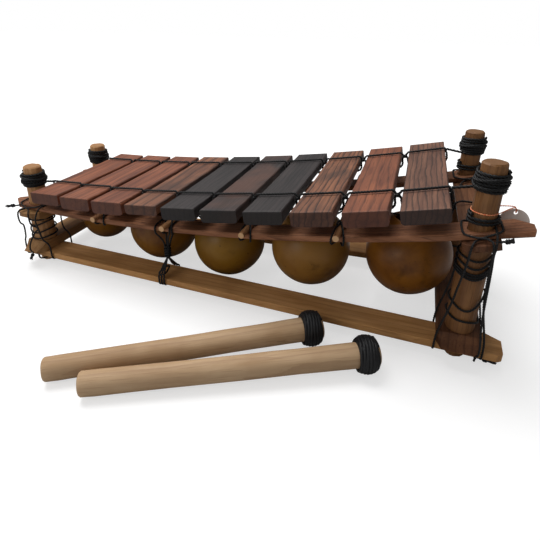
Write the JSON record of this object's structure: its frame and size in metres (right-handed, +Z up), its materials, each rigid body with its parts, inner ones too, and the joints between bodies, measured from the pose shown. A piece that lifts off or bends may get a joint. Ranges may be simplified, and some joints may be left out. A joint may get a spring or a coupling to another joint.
{
  "type": "balafon",
  "caption": "Frame xylophone: rosewood bars hung on cord over calabash resonators in a bowed stake-and-rail frame, with a pair of rubber-wound mallets.",
  "frame": {"origin": "middle of the footprint, mallets included, on the floor under the feet", "axes": "+X along the row of bars from the short treble end to the tall bass end, +Y from the player to the back, +Z up"},
  "size_m": [0.5666, 0.3606, 0.19],
  "materials": {
    "post_wood": "dry, whittled",
    "rail_wood_light": "dry, sawn and whittled",
    "rail_wood_walnut": "rubbed, satin",
    "rail_wood_dark": "rubbed, satin",
    "stick_wood": "dry, peeled",
    "bar_rosewood_red": "oiled, satin",
    "bar_rosewood_black": "oiled, satin",
    "bar_rosewood_brown": "oiled, satin",
    "calabash": "hard skin, satin with specks",
    "black_cord": "twisted, slightly shiny",
    "mallet_wood": "bare, sanded",
    "wound_rubber": "matt",
    "tag_card": "matt card, bare",
    "tag_string": "soft"
  },
  "bodies": {
    "frame": {"bottom_crosspiece_left": "rail_wood_light", "bottom_crosspiece_right": "rail_wood_dark", "bottom_rail_back": "rail_wood_light", "bottom_rail_front": "rail_wood_light", "corner_lashing_back_left": "black_cord", "corner_lashing_back_right": "black_cord", "corner_lashing_front_left": "black_cord", "corner_lashing_front_right": "black_cord", "gourd_1": "calabash", "gourd_2": "calabash", "gourd_3": "calabash", "gourd_4": "calabash", "gourd_5": "calabash", "gourd_stick_1": "stick_wood", "gourd_stick_2": "stick_wood", "gourd_stick_3": "stick_wood", "gourd_stick_4": "stick_wood", "gourd_ties": "black_cord", "hang_tag": "tag_card", "hang_tag_string": "tag_string", "head_winding_back_left": "black_cord", "head_winding_back_right": "black_cord", "head_winding_front_left": "black_cord", "head_winding_front_right": "black_cord", "middle_lashing_back": "black_cord", "middle_lashing_front": "black_cord", "post_back_left": "post_wood", "post_back_right": "post_wood", "post_front_left": "post_wood", "post_front_right": "post_wood", "stick_lashings": "black_cord", "top_rail_back": "rail_wood_walnut", "top_rail_front": "rail_wood_walnut", "upper_crosspiece_left": "rail_wood_light", "upper_crosspiece_right": "rail_wood_dark"},
    "key_01_bar": {"key_01": "bar_rosewood_red", "key_01_cords": "black_cord"},
    "key_02_bar": {"key_02": "bar_rosewood_red", "key_02_cords": "black_cord"},
    "key_03_bar": {"key_03": "bar_rosewood_red", "key_03_cords": "black_cord"},
    "key_04_bar": {"key_04": "bar_rosewood_red", "key_04_cords": "black_cord"},
    "key_05_bar": {"key_05": "bar_rosewood_black", "key_05_cords": "black_cord"},
    "key_06_bar": {"key_06": "bar_rosewood_black", "key_06_cords": "black_cord"},
    "key_07_bar": {"key_07": "bar_rosewood_black", "key_07_cords": "black_cord"},
    "key_08_bar": {"key_08": "bar_rosewood_brown", "key_08_cords": "black_cord"},
    "key_09_bar": {"key_09": "bar_rosewood_red", "key_09_cords": "black_cord"},
    "key_10_bar": {"key_10": "bar_rosewood_brown", "key_10_cords": "black_cord"},
    "front_mallet": {"mallet_front_handle": "mallet_wood", "mallet_front_head": "wound_rubber"},
    "rear_mallet": {"mallet_rear_handle": "mallet_wood", "mallet_rear_head": "wound_rubber"}
  },
  "joints": [
    {"name": "key_01_give", "type": "slide", "parent": "frame", "child": "key_01_bar", "axis": [0, 0, 1], "range_m": [-0.003, 0.002], "stiffness_N_per_m": 3000, "springref_m": 0.00017},
    {"name": "key_02_give", "type": "slide", "parent": "frame", "child": "key_02_bar", "axis": [0, 0, 1], "range_m": [-0.003, 0.002], "stiffness_N_per_m": 3000, "springref_m": 0.00019},
    {"name": "key_03_give", "type": "slide", "parent": "frame", "child": "key_03_bar", "axis": [0, 0, 1], "range_m": [-0.003, 0.002], "stiffness_N_per_m": 3000, "springref_m": 0.0002},
    {"name": "key_04_give", "type": "slide", "parent": "frame", "child": "key_04_bar", "axis": [0, 0, 1], "range_m": [-0.003, 0.002], "stiffness_N_per_m": 3000, "springref_m": 0.00015},
    {"name": "key_05_give", "type": "slide", "parent": "frame", "child": "key_05_bar", "axis": [0, 0, 1], "range_m": [-0.003, 0.002], "stiffness_N_per_m": 3000, "springref_m": 0.00019},
    {"name": "key_06_give", "type": "slide", "parent": "frame", "child": "key_06_bar", "axis": [0, 0, 1], "range_m": [-0.003, 0.002], "stiffness_N_per_m": 3000, "springref_m": 0.0002},
    {"name": "key_07_give", "type": "slide", "parent": "frame", "child": "key_07_bar", "axis": [0, 0, 1], "range_m": [-0.003, 0.002], "stiffness_N_per_m": 3000, "springref_m": 0.00021},
    {"name": "key_08_give", "type": "slide", "parent": "frame", "child": "key_08_bar", "axis": [0, 0, 1], "range_m": [-0.003, 0.002], "stiffness_N_per_m": 3000, "springref_m": 0.00023},
    {"name": "key_09_give", "type": "slide", "parent": "frame", "child": "key_09_bar", "axis": [0, 0, 1], "range_m": [-0.003, 0.002], "stiffness_N_per_m": 3000, "springref_m": 0.00024},
    {"name": "key_10_give", "type": "slide", "parent": "frame", "child": "key_10_bar", "axis": [0, 0, 1], "range_m": [-0.003, 0.002], "stiffness_N_per_m": 3000, "springref_m": 0.00021},
    {"name": "front_mallet_lift", "type": "slide", "parent": "frame", "child": "front_mallet", "axis": [0, -0.27, 0.9629], "range_m": [0, 0.25]},
    {"name": "rear_mallet_lift", "type": "slide", "parent": "frame", "child": "rear_mallet", "axis": [0, -0.27, 0.9629], "range_m": [0, 0.25]}
  ]
}
